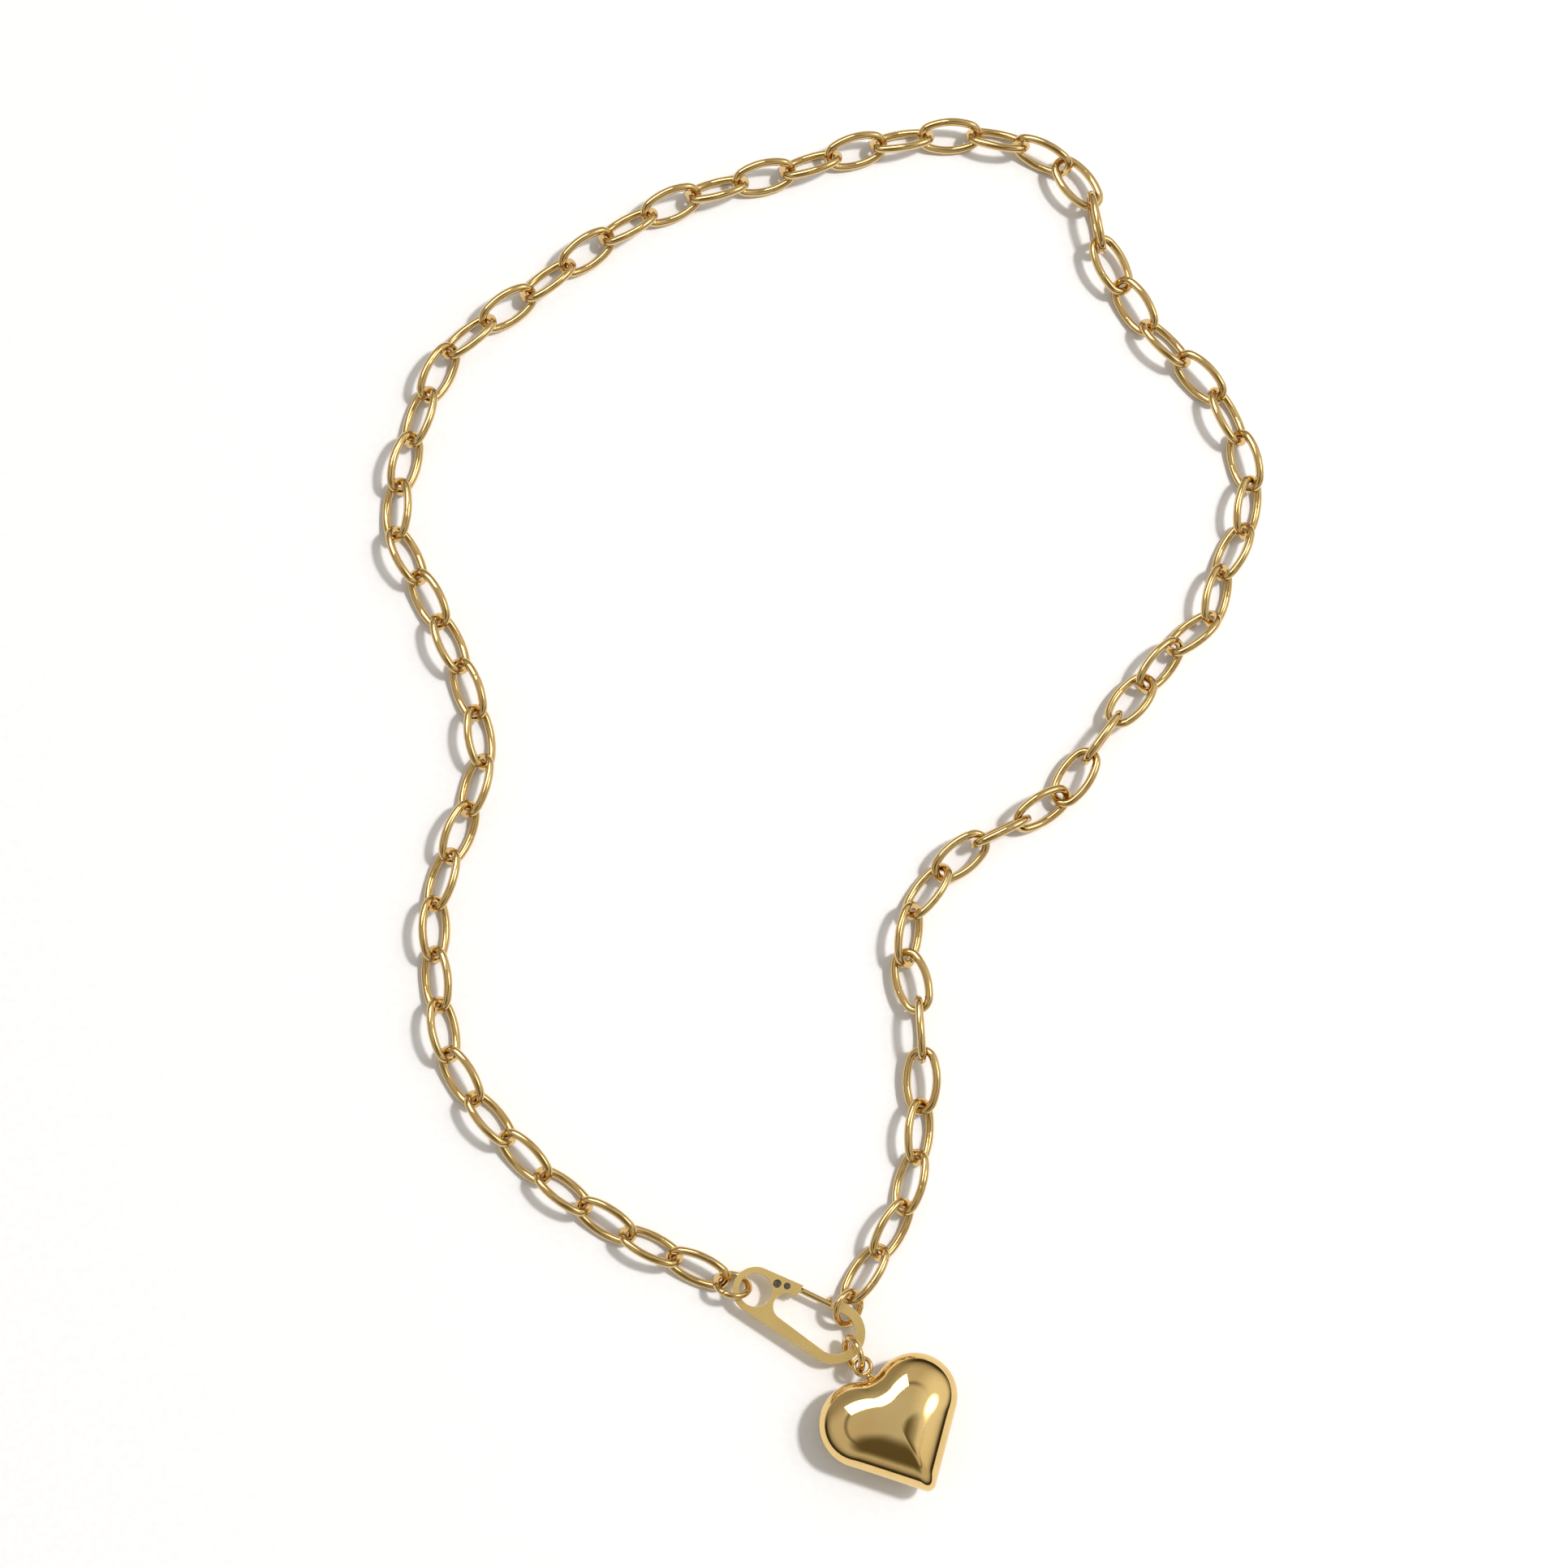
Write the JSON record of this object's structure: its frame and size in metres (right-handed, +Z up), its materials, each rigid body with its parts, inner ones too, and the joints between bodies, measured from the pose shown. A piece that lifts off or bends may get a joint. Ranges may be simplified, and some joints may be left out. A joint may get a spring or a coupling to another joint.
{
  "type": "pendant necklace",
  "caption": "Oval link chain necklace laid in a loose loop, joined by a flat carabiner clasp with a sprung gate, from which a hollow puffed heart hangs on a jump ring.",
  "frame": {"origin": "on the surface the necklace lies on, under the middle of its box", "axes": "+Y from the heart towards the back of the neck, +Z up off the surface"},
  "size_m": [0.1398, 0.2181, 0.0096],
  "materials": {
    "chain_gold": "polished",
    "ring_gold": "polished",
    "clasp_satin_gold": "satin",
    "gate_gold": "polished",
    "pin_metal": "satin",
    "heart_gold": "mirror polished",
    "bail_gold": "polished"
  },
  "bodies": {
    "clasp": {"clasp_frame": "clasp_satin_gold", "gate_hinge_pin": "pin_metal", "spring_anchor_pin": "pin_metal", "gate_spring": "gate_gold"},
    "gate": {"gate_arm": "gate_gold", "gate_latch_pin": "gate_gold"},
    "eye_ring": {"eye_jump_ring": "ring_gold"},
    "chain_link_01": {"chain_link_01": "chain_gold"},
    "chain_link_02": {"chain_link_02": "chain_gold"},
    "chain_link_03": {"chain_link_03": "chain_gold"},
    "chain_link_04": {"chain_link_04": "chain_gold"},
    "chain_link_05": {"chain_link_05": "chain_gold"},
    "chain_link_06": {"chain_link_06": "chain_gold"},
    "chain_link_07": {"chain_link_07": "chain_gold"},
    "chain_link_08": {"chain_link_08": "chain_gold"},
    "chain_link_09": {"chain_link_09": "chain_gold"},
    "chain_link_10": {"chain_link_10": "chain_gold"},
    "chain_link_11": {"chain_link_11": "chain_gold"},
    "chain_link_12": {"chain_link_12": "chain_gold"},
    "chain_link_13": {"chain_link_13": "chain_gold"},
    "chain_link_14": {"chain_link_14": "chain_gold"},
    "chain_link_15": {"chain_link_15": "chain_gold"},
    "chain_link_16": {"chain_link_16": "chain_gold"},
    "chain_link_17": {"chain_link_17": "chain_gold"},
    "chain_link_18": {"chain_link_18": "chain_gold"},
    "chain_links_19_20": {"chain_links_19_20": "chain_gold"},
    "chain_links_21_22": {"chain_links_21_22": "chain_gold"},
    "chain_links_23_24": {"chain_links_23_24": "chain_gold"},
    "chain_links_25_26": {"chain_links_25_26": "chain_gold"},
    "chain_links_27_28": {"chain_links_27_28": "chain_gold"},
    "chain_links_29_30": {"chain_links_29_30": "chain_gold"},
    "chain_links_31_32": {"chain_links_31_32": "chain_gold"},
    "clasp_ring": {"clasp_jump_ring": "ring_gold"},
    "chain_link_64": {"chain_link_64": "chain_gold"},
    "chain_link_63": {"chain_link_63": "chain_gold"},
    "chain_link_62": {"chain_link_62": "chain_gold"},
    "chain_link_61": {"chain_link_61": "chain_gold"},
    "chain_link_60": {"chain_link_60": "chain_gold"},
    "chain_link_59": {"chain_link_59": "chain_gold"},
    "chain_link_58": {"chain_link_58": "chain_gold"},
    "chain_link_57": {"chain_link_57": "chain_gold"},
    "chain_link_56": {"chain_link_56": "chain_gold"},
    "chain_link_55": {"chain_link_55": "chain_gold"},
    "chain_link_54": {"chain_link_54": "chain_gold"},
    "chain_link_53": {"chain_link_53": "chain_gold"},
    "chain_links_51_52": {"chain_links_51_52": "chain_gold"},
    "chain_links_49_50": {"chain_links_49_50": "chain_gold"},
    "chain_links_47_48": {"chain_links_47_48": "chain_gold"},
    "chain_links_45_46": {"chain_links_45_46": "chain_gold"},
    "chain_links_43_44": {"chain_links_43_44": "chain_gold"},
    "chain_links_41_42": {"chain_links_41_42": "chain_gold"},
    "chain_links_39_40": {"chain_links_39_40": "chain_gold"},
    "chain_links_37_38": {"chain_links_37_38": "chain_gold"},
    "chain_links_35_36": {"chain_links_35_36": "chain_gold"},
    "chain_links_33_34": {"chain_links_33_34": "chain_gold"},
    "pendant_ring": {"pendant_jump_ring": "ring_gold"},
    "heart": {"heart_front_shell": "heart_gold", "heart_back_shell": "heart_gold", "heart_bail_loop": "bail_gold", "heart_bail_post": "bail_gold"}
  },
  "joints": [
    {"name": "eye_ring_hinge", "type": "hinge", "parent": "clasp", "child": "eye_ring", "pos_m": [-0.01275, -0.07835, 0.00245], "axis": [0, 0, 1], "range_deg": [-5, 5]},
    {"name": "chain_link_01_hinge", "type": "hinge", "parent": "eye_ring", "child": "chain_link_01", "pos_m": [-0.0161, -0.0772, 0.00245], "axis": [0, 0, 1], "range_deg": [-5, 5]},
    {"name": "chain_link_02_hinge", "type": "hinge", "parent": "chain_link_01", "child": "chain_link_02", "pos_m": [-0.02331, -0.07403, 0.00245], "axis": [0, 0, 1], "range_deg": [-5, 5]},
    {"name": "chain_link_03_hinge", "type": "hinge", "parent": "chain_link_02", "child": "chain_link_03", "pos_m": [-0.03038, -0.07057, 0.00245], "axis": [0, 0, 1], "range_deg": [-5, 5]},
    {"name": "chain_link_04_hinge", "type": "hinge", "parent": "chain_link_03", "child": "chain_link_04", "pos_m": [-0.03708, -0.06641, 0.00245], "axis": [0, 0, 1], "range_deg": [-5, 5]},
    {"name": "chain_link_05_hinge", "type": "hinge", "parent": "chain_link_04", "child": "chain_link_05", "pos_m": [-0.04334, -0.06164, 0.00245], "axis": [0, 0, 1], "range_deg": [-5, 5]},
    {"name": "chain_link_06_hinge", "type": "hinge", "parent": "chain_link_05", "child": "chain_link_06", "pos_m": [-0.0489, -0.05606, 0.00245], "axis": [0, 0, 1], "range_deg": [-5, 5]},
    {"name": "chain_link_07_hinge", "type": "hinge", "parent": "chain_link_06", "child": "chain_link_07", "pos_m": [-0.05397, -0.05004, 0.00245], "axis": [0, 0, 1], "range_deg": [-5, 5]},
    {"name": "chain_link_08_hinge", "type": "hinge", "parent": "chain_link_07", "child": "chain_link_08", "pos_m": [-0.05806, -0.04335, 0.00245], "axis": [0, 0, 1], "range_deg": [-5, 5]},
    {"name": "chain_link_09_hinge", "type": "hinge", "parent": "chain_link_08", "child": "chain_link_09", "pos_m": [-0.05954, -0.03564, 0.00245], "axis": [0, 0, 1], "range_deg": [-5, 5]},
    {"name": "chain_link_10_hinge", "type": "hinge", "parent": "chain_link_09", "child": "chain_link_10", "pos_m": [-0.06047, -0.02782, 0.00245], "axis": [0, 0, 1], "range_deg": [-5, 5]},
    {"name": "chain_link_11_hinge", "type": "hinge", "parent": "chain_link_10", "child": "chain_link_11", "pos_m": [-0.06049, -0.01995, 0.00245], "axis": [0, 0, 1], "range_deg": [-5, 5]},
    {"name": "chain_link_12_hinge", "type": "hinge", "parent": "chain_link_11", "child": "chain_link_12", "pos_m": [-0.05836, -0.01239, 0.00245], "axis": [0, 0, 1], "range_deg": [-5, 5]},
    {"name": "chain_link_13_hinge", "type": "hinge", "parent": "chain_link_12", "child": "chain_link_13", "pos_m": [-0.05551, -0.00504, 0.00245], "axis": [0, 0, 1], "range_deg": [-5, 5]},
    {"name": "chain_link_14_hinge", "type": "hinge", "parent": "chain_link_13", "child": "chain_link_14", "pos_m": [-0.05347, 0.00253, 0.00245], "axis": [0, 0, 1], "range_deg": [-5, 5]},
    {"name": "chain_link_15_hinge", "type": "hinge", "parent": "chain_link_14", "child": "chain_link_15", "pos_m": [-0.05459, 0.01027, 0.00245], "axis": [0, 0, 1], "range_deg": [-5, 5]},
    {"name": "chain_link_16_hinge", "type": "hinge", "parent": "chain_link_15", "child": "chain_link_16", "pos_m": [-0.05733, 0.01766, 0.00245], "axis": [0, 0, 1], "range_deg": [-5, 5]},
    {"name": "chain_link_17_hinge", "type": "hinge", "parent": "chain_link_16", "child": "chain_link_17", "pos_m": [-0.06045, 0.02489, 0.00245], "axis": [0, 0, 1], "range_deg": [-5, 5]},
    {"name": "chain_link_18_hinge", "type": "hinge", "parent": "chain_link_17", "child": "chain_link_18", "pos_m": [-0.06416, 0.03184, 0.00245], "axis": [0, 0, 1], "range_deg": [-5, 5]},
    {"name": "chain_links_19_20_hinge", "type": "hinge", "parent": "chain_link_18", "child": "chain_links_19_20", "pos_m": [-0.06763, 0.03889, 0.00245], "axis": [0, 0, 1], "range_deg": [-5, 5]},
    {"name": "chain_links_21_22_hinge", "type": "hinge", "parent": "chain_links_19_20", "child": "chain_links_21_22", "pos_m": [-0.06541, 0.05428, 0.00245], "axis": [0, 0, 1], "range_deg": [-5, 5]},
    {"name": "chain_links_23_24_hinge", "type": "hinge", "parent": "chain_links_21_22", "child": "chain_links_23_24", "pos_m": [-0.05972, 0.06887, 0.00245], "axis": [0, 0, 1], "range_deg": [-5, 5]},
    {"name": "chain_links_25_26_hinge", "type": "hinge", "parent": "chain_links_23_24", "child": "chain_links_25_26", "pos_m": [-0.04739, 0.07859, 0.00245], "axis": [0, 0, 1], "range_deg": [-5, 5]},
    {"name": "chain_links_27_28_hinge", "type": "hinge", "parent": "chain_links_25_26", "child": "chain_links_27_28", "pos_m": [-0.03501, 0.08833, 0.00245], "axis": [0, 0, 1], "range_deg": [-5, 5]},
    {"name": "chain_links_29_30_hinge", "type": "hinge", "parent": "chain_links_27_28", "child": "chain_links_29_30", "pos_m": [-0.02118, 0.09582, 0.00245], "axis": [0, 0, 1], "range_deg": [-5, 5]},
    {"name": "chain_links_31_32_hinge", "type": "hinge", "parent": "chain_links_29_30", "child": "chain_links_31_32", "pos_m": [-0.00604, 0.10015, 0.00245], "axis": [0, 0, 1], "range_deg": [-5, 5]},
    {"name": "clasp_ring_hinge", "type": "hinge", "parent": "clasp", "child": "clasp_ring", "pos_m": [0.0029, -0.0832, 0.00245], "axis": [0, 0, 1], "range_deg": [-5, 5]},
    {"name": "chain_link_64_hinge", "type": "hinge", "parent": "clasp_ring", "child": "chain_link_64", "pos_m": [0.0035, -0.0796, 0.00245], "axis": [0, 0, 1], "range_deg": [-5, 5]},
    {"name": "chain_link_63_hinge", "type": "hinge", "parent": "chain_link_64", "child": "chain_link_63", "pos_m": [0.00786, -0.07304, 0.00245], "axis": [0, 0, 1], "range_deg": [-2.2, 2.2]},
    {"name": "chain_link_62_hinge", "type": "hinge", "parent": "chain_link_63", "child": "chain_link_62", "pos_m": [0.01173, -0.06619, 0.00245], "axis": [0, 0, 1], "range_deg": [-5, 5]},
    {"name": "chain_link_61_hinge", "type": "hinge", "parent": "chain_link_62", "child": "chain_link_61", "pos_m": [0.01371, -0.05858, 0.00245], "axis": [0, 0, 1], "range_deg": [-5, 5]},
    {"name": "chain_link_60_hinge", "type": "hinge", "parent": "chain_link_61", "child": "chain_link_60", "pos_m": [0.01445, -0.05074, 0.00245], "axis": [0, 0, 1], "range_deg": [-5, 5]},
    {"name": "chain_link_59_hinge", "type": "hinge", "parent": "chain_link_60", "child": "chain_link_59", "pos_m": [0.01458, -0.04287, 0.00245], "axis": [0, 0, 1], "range_deg": [-5, 5]},
    {"name": "chain_link_58_hinge", "type": "hinge", "parent": "chain_link_59", "child": "chain_link_58", "pos_m": [0.0141, -0.03501, 0.00245], "axis": [0, 0, 1], "range_deg": [-5, 5]},
    {"name": "chain_link_57_hinge", "type": "hinge", "parent": "chain_link_58", "child": "chain_link_57", "pos_m": [0.01209, -0.0278, 0.00245], "axis": [0, 0, 1], "range_deg": [-5, 5]},
    {"name": "chain_link_56_hinge", "type": "hinge", "parent": "chain_link_57", "child": "chain_link_56", "pos_m": [0.01329, -0.02046, 0.00245], "axis": [0, 0, 1], "range_deg": [-5, 5]},
    {"name": "chain_link_55_hinge", "type": "hinge", "parent": "chain_link_56", "child": "chain_link_55", "pos_m": [0.0179, -0.01412, 0.00245], "axis": [0, 0, 1], "range_deg": [-5, 5]},
    {"name": "chain_link_54_hinge", "type": "hinge", "parent": "chain_link_55", "child": "chain_link_54", "pos_m": [0.02378, -0.00945, 0.00245], "axis": [0, 0, 1], "range_deg": [-5, 5]},
    {"name": "chain_link_53_hinge", "type": "hinge", "parent": "chain_link_54", "child": "chain_link_53", "pos_m": [0.03049, -0.00606, 0.00245], "axis": [0, 0, 1], "range_deg": [-5, 5]},
    {"name": "chain_links_51_52_hinge", "type": "hinge", "parent": "chain_link_53", "child": "chain_links_51_52", "pos_m": [0.03685, -0.00205, 0.00245], "axis": [0, 0, 1], "range_deg": [-5, 5]},
    {"name": "chain_links_49_50_hinge", "type": "hinge", "parent": "chain_links_51_52", "child": "chain_links_49_50", "pos_m": [0.04561, 0.01051, 0.00245], "axis": [0, 0, 1], "range_deg": [-5, 5]},
    {"name": "chain_links_47_48_hinge", "type": "hinge", "parent": "chain_links_49_50", "child": "chain_links_47_48", "pos_m": [0.05515, 0.02216, 0.00245], "axis": [0, 0, 1], "range_deg": [-5, 5]},
    {"name": "chain_links_45_46_hinge", "type": "hinge", "parent": "chain_links_47_48", "child": "chain_links_45_46", "pos_m": [0.06299, 0.03447, 0.00245], "axis": [0, 0, 1], "range_deg": [-5, 5]},
    {"name": "chain_links_43_44_hinge", "type": "hinge", "parent": "chain_links_45_46", "child": "chain_links_43_44", "pos_m": [0.06798, 0.04909, 0.00245], "axis": [0, 0, 1], "range_deg": [-5, 5]},
    {"name": "chain_links_41_42_hinge", "type": "hinge", "parent": "chain_links_43_44", "child": "chain_links_41_42", "pos_m": [0.06276, 0.06387, 0.00245], "axis": [0, 0, 1], "range_deg": [-5, 5]},
    {"name": "chain_links_39_40_hinge", "type": "hinge", "parent": "chain_links_41_42", "child": "chain_links_39_40", "pos_m": [0.05186, 0.07519, 0.00245], "axis": [0, 0, 1], "range_deg": [-5, 5]},
    {"name": "chain_links_37_38_hinge", "type": "hinge", "parent": "chain_links_39_40", "child": "chain_links_37_38", "pos_m": [0.04444, 0.08865, 0.00245], "axis": [0, 0, 1], "range_deg": [-5, 5]},
    {"name": "chain_links_35_36_hinge", "type": "hinge", "parent": "chain_links_37_38", "child": "chain_links_35_36", "pos_m": [0.03853, 0.10196, 0.00245], "axis": [0, 0, 1], "range_deg": [-5, 5]},
    {"name": "chain_links_33_34_hinge", "type": "hinge", "parent": "chain_links_35_36", "child": "chain_links_33_34", "pos_m": [0.02415, 0.10699, 0.00245], "axis": [0, 0, 1], "range_deg": [-5, 5]},
    {"name": "gate_hinge", "type": "hinge", "parent": "clasp", "child": "gate", "pos_m": [-0.00621, -0.0783, 0.00245], "axis": [0, 0, -1], "range_deg": [0, 20], "stiffness_Nm_per_rad": 0.002, "springref_deg": -20.05},
    {"name": "pendant_ring_swing", "type": "hinge", "parent": "clasp", "child": "pendant_ring", "pos_m": [0.00363, -0.08823, 0.00245], "axis": [-0.7445, -0.6676, 0], "range_deg": [0, 40]},
    {"name": "heart_turn", "type": "hinge", "parent": "pendant_ring", "child": "heart", "pos_m": [0.00508, -0.09037, 0.00444], "axis": [0, 0, 1], "range_deg": [-25, 25]}
  ],
  "couplings": [
    {"joint": "eye_ring_hinge", "follows": "chain_link_63_hinge", "ratio": -1.4354},
    {"joint": "chain_link_01_hinge", "follows": "chain_link_63_hinge", "ratio": -1.3224},
    {"joint": "chain_link_02_hinge", "follows": "chain_link_63_hinge", "ratio": -1.1181},
    {"joint": "chain_link_03_hinge", "follows": "chain_link_63_hinge", "ratio": -0.87608},
    {"joint": "chain_link_04_hinge", "follows": "chain_link_63_hinge", "ratio": -0.63658},
    {"joint": "chain_link_05_hinge", "follows": "chain_link_63_hinge", "ratio": -0.42309},
    {"joint": "chain_link_06_hinge", "follows": "chain_link_63_hinge", "ratio": -0.24167},
    {"joint": "chain_link_07_hinge", "follows": "chain_link_63_hinge", "ratio": -0.20097},
    {"joint": "chain_link_08_hinge", "follows": "chain_link_63_hinge", "ratio": 0.1844},
    {"joint": "chain_link_09_hinge", "follows": "chain_link_63_hinge", "ratio": 0.23439},
    {"joint": "chain_link_10_hinge", "follows": "chain_link_63_hinge", "ratio": 0.43516},
    {"joint": "chain_link_11_hinge", "follows": "chain_link_63_hinge", "ratio": 0.67966},
    {"joint": "chain_link_12_hinge", "follows": "chain_link_63_hinge", "ratio": 0.96339},
    {"joint": "chain_link_13_hinge", "follows": "chain_link_63_hinge", "ratio": 1.2673},
    {"joint": "chain_link_14_hinge", "follows": "chain_link_63_hinge", "ratio": 1.5555},
    {"joint": "chain_link_15_hinge", "follows": "chain_link_63_hinge", "ratio": 1.7657},
    {"joint": "chain_link_16_hinge", "follows": "chain_link_63_hinge", "ratio": 1.8072},
    {"joint": "chain_link_17_hinge", "follows": "chain_link_63_hinge", "ratio": 1.5982},
    {"joint": "chain_link_18_hinge", "follows": "chain_link_63_hinge", "ratio": 1.0967},
    {"joint": "chain_links_19_20_hinge", "follows": "chain_link_63_hinge", "ratio": 0.40818},
    {"joint": "chain_links_21_22_hinge", "follows": "chain_link_63_hinge", "ratio": -0.31054},
    {"joint": "chain_links_23_24_hinge", "follows": "chain_link_63_hinge", "ratio": -0.86455},
    {"joint": "chain_links_25_26_hinge", "follows": "chain_link_63_hinge", "ratio": -1.1644},
    {"joint": "chain_links_27_28_hinge", "follows": "chain_link_63_hinge", "ratio": -1.3146},
    {"joint": "chain_links_29_30_hinge", "follows": "chain_link_63_hinge", "ratio": -1.3865},
    {"joint": "chain_links_31_32_hinge", "follows": "chain_link_63_hinge", "ratio": -1.4306},
    {"joint": "clasp_ring_hinge", "follows": "chain_link_63_hinge", "ratio": 1.3653},
    {"joint": "chain_link_64_hinge", "follows": "chain_link_63_hinge", "ratio": 1.2316},
    {"joint": "chain_link_62_hinge", "follows": "chain_link_63_hinge", "ratio": 0.73897},
    {"joint": "chain_link_61_hinge", "follows": "chain_link_63_hinge", "ratio": 0.50702},
    {"joint": "chain_link_60_hinge", "follows": "chain_link_63_hinge", "ratio": 0.33132},
    {"joint": "chain_link_59_hinge", "follows": "chain_link_63_hinge", "ratio": 0.20738},
    {"joint": "chain_link_58_hinge", "follows": "chain_link_63_hinge", "ratio": 0.21547},
    {"joint": "chain_link_57_hinge", "follows": "chain_link_63_hinge", "ratio": -0.17205},
    {"joint": "chain_link_56_hinge", "follows": "chain_link_63_hinge", "ratio": -0.16662},
    {"joint": "chain_link_55_hinge", "follows": "chain_link_63_hinge", "ratio": -0.55712},
    {"joint": "chain_link_54_hinge", "follows": "chain_link_63_hinge", "ratio": -0.95812},
    {"joint": "chain_link_53_hinge", "follows": "chain_link_63_hinge", "ratio": -1.3556},
    {"joint": "chain_links_51_52_hinge", "follows": "chain_link_63_hinge", "ratio": -1.6817},
    {"joint": "chain_links_49_50_hinge", "follows": "chain_link_63_hinge", "ratio": -1.8837},
    {"joint": "chain_links_47_48_hinge", "follows": "chain_link_63_hinge", "ratio": -1.8177},
    {"joint": "chain_links_45_46_hinge", "follows": "chain_link_63_hinge", "ratio": -1.5071},
    {"joint": "chain_links_43_44_hinge", "follows": "chain_link_63_hinge", "ratio": -0.99837},
    {"joint": "chain_links_41_42_hinge", "follows": "chain_link_63_hinge", "ratio": -0.37712},
    {"joint": "chain_links_39_40_hinge", "follows": "chain_link_63_hinge", "ratio": 0.25448},
    {"joint": "chain_links_37_38_hinge", "follows": "chain_link_63_hinge", "ratio": 0.81775},
    {"joint": "chain_links_35_36_hinge", "follows": "chain_link_63_hinge", "ratio": 1.2185},
    {"joint": "chain_links_33_34_hinge", "follows": "chain_link_63_hinge", "ratio": 1.4068}
  ]
}
